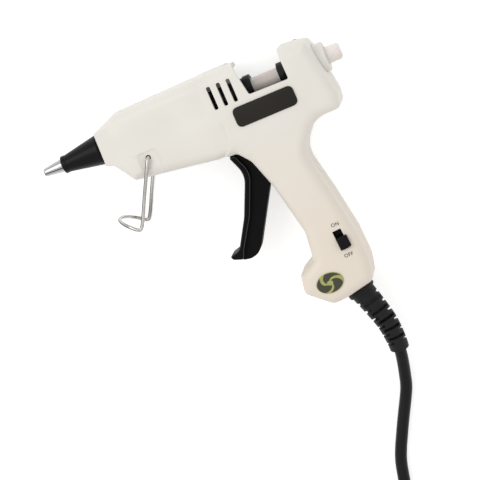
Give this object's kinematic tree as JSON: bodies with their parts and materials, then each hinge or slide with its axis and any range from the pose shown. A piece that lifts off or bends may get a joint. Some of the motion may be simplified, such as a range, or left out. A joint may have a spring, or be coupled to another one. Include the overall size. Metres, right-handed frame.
{
  "type": "mini hot glue gun",
  "caption": "Mini hot glue gun with a pistol grip, a long trigger, a folding wire stand, a slide switch and a coiled mains lead with a flat plug.",
  "frame": {"origin": "on the surface that the gun lies on, under the middle of the gun with its strain relief", "axes": "+X back along the barrel, away from the nozzle, +Y up from the handle to the barrel, +Z up from the surface, out of the gun's left side"},
  "size_m": [0.1714, 0.3053, 0.03],
  "materials": {
    "off_white_plastic": "satin moulded shell",
    "black_plastic": "moulded black",
    "dark_rubber": "moulded, dark grey",
    "nozzle_rubber": "matte silicone",
    "bright_steel": "bright nickel plate",
    "zinc_steel": "zinc plate",
    "cast_aluminium": "as cast",
    "brass": "stamped",
    "ceramic": "fired, matte",
    "amber_film": "thin film",
    "milky_glue": "milky, slightly translucent",
    "lime_badge": "printed, glossy",
    "red_wire": "wire insulation",
    "blue_wire": "wire insulation",
    "phenolic": "heat-proof board"
  },
  "bodies": {
    "housing": {"left_shell": "off_white_plastic", "right_shell": "off_white_plastic", "housing_screw_1": "zinc_steel", "housing_screw_2": "zinc_steel", "housing_screw_3": "zinc_steel", "housing_screw_4": "zinc_steel", "housing_screw_5": "zinc_steel", "housing_screw_6": "zinc_steel", "label_plate": "black_plastic", "badge": "lime_badge", "nozzle_tip": "bright_steel", "nozzle_cover": "nozzle_rubber", "melt_chamber": "cast_aluminium", "heater_element": "ceramic", "electrode_upper": "brass", "electrode_lower": "brass", "heater_film": "amber_film", "chamber_mount_front": "phenolic", "chamber_mount_rear": "phenolic", "feed_sleeve": "black_plastic", "sleeve_clip": "bright_steel", "inlet_collar": "off_white_plastic", "trigger_pivot_pin": "zinc_steel", "return_spring": "bright_steel", "switch_body": "black_plastic", "switch_terminal_1": "brass", "switch_terminal_2": "brass", "cord_clamp": "black_plastic", "clamp_screw_1": "zinc_steel", "clamp_screw_2": "zinc_steel", "strain_relief": "dark_rubber", "cord_inner": "black_plastic", "heater_wire_left": "red_wire", "heater_wire_right": "blue_wire", "switch_wire": "red_wire", "cord_lead": "black_plastic", "cord_coil": "black_plastic", "cord_tail": "black_plastic", "plug_body": "black_plastic", "plug_pin_1": "brass", "plug_pin_2": "brass"},
    "trigger": {"trigger": "black_plastic"},
    "feed": {"feed_carriage": "black_plastic", "grip_sleeve": "dark_rubber"},
    "stick": {"glue_stick": "milky_glue"},
    "stand": {"stand_wire": "bright_steel"},
    "knob": {"switch_knob": "black_plastic"}
  },
  "joints": [
    {"name": "trigger_pull", "type": "hinge", "parent": "housing", "child": "trigger", "pos_m": [0.03526, 0.0364, 0.014], "axis": [0, 0, 1], "range_deg": [0, 13], "stiffness_Nm_per_rad": 0.6, "springref_deg": -14.32},
    {"name": "feed_slide", "type": "slide", "parent": "housing", "child": "feed", "axis": [-1, 0, 0], "range_m": [0, 0.0057]},
    {"name": "stick_feed", "type": "slide", "parent": "housing", "child": "stick", "axis": [-1, 0, 0], "range_m": [-0.08, 0.008]},
    {"name": "stand_swing", "type": "hinge", "parent": "housing", "child": "stand", "pos_m": [-0.02255, 0.04795, 0.014], "axis": [0, 0, 1], "range_deg": [-40, 70]},
    {"name": "switch_slide", "type": "slide", "parent": "housing", "child": "knob", "axis": [-0.0593, 0.9982, 0], "range_m": [0, 0.0038]}
  ],
  "couplings": [
    {"joint": "feed_slide", "follows": "trigger_pull", "m_per_rad": 0.0251}
  ]
}
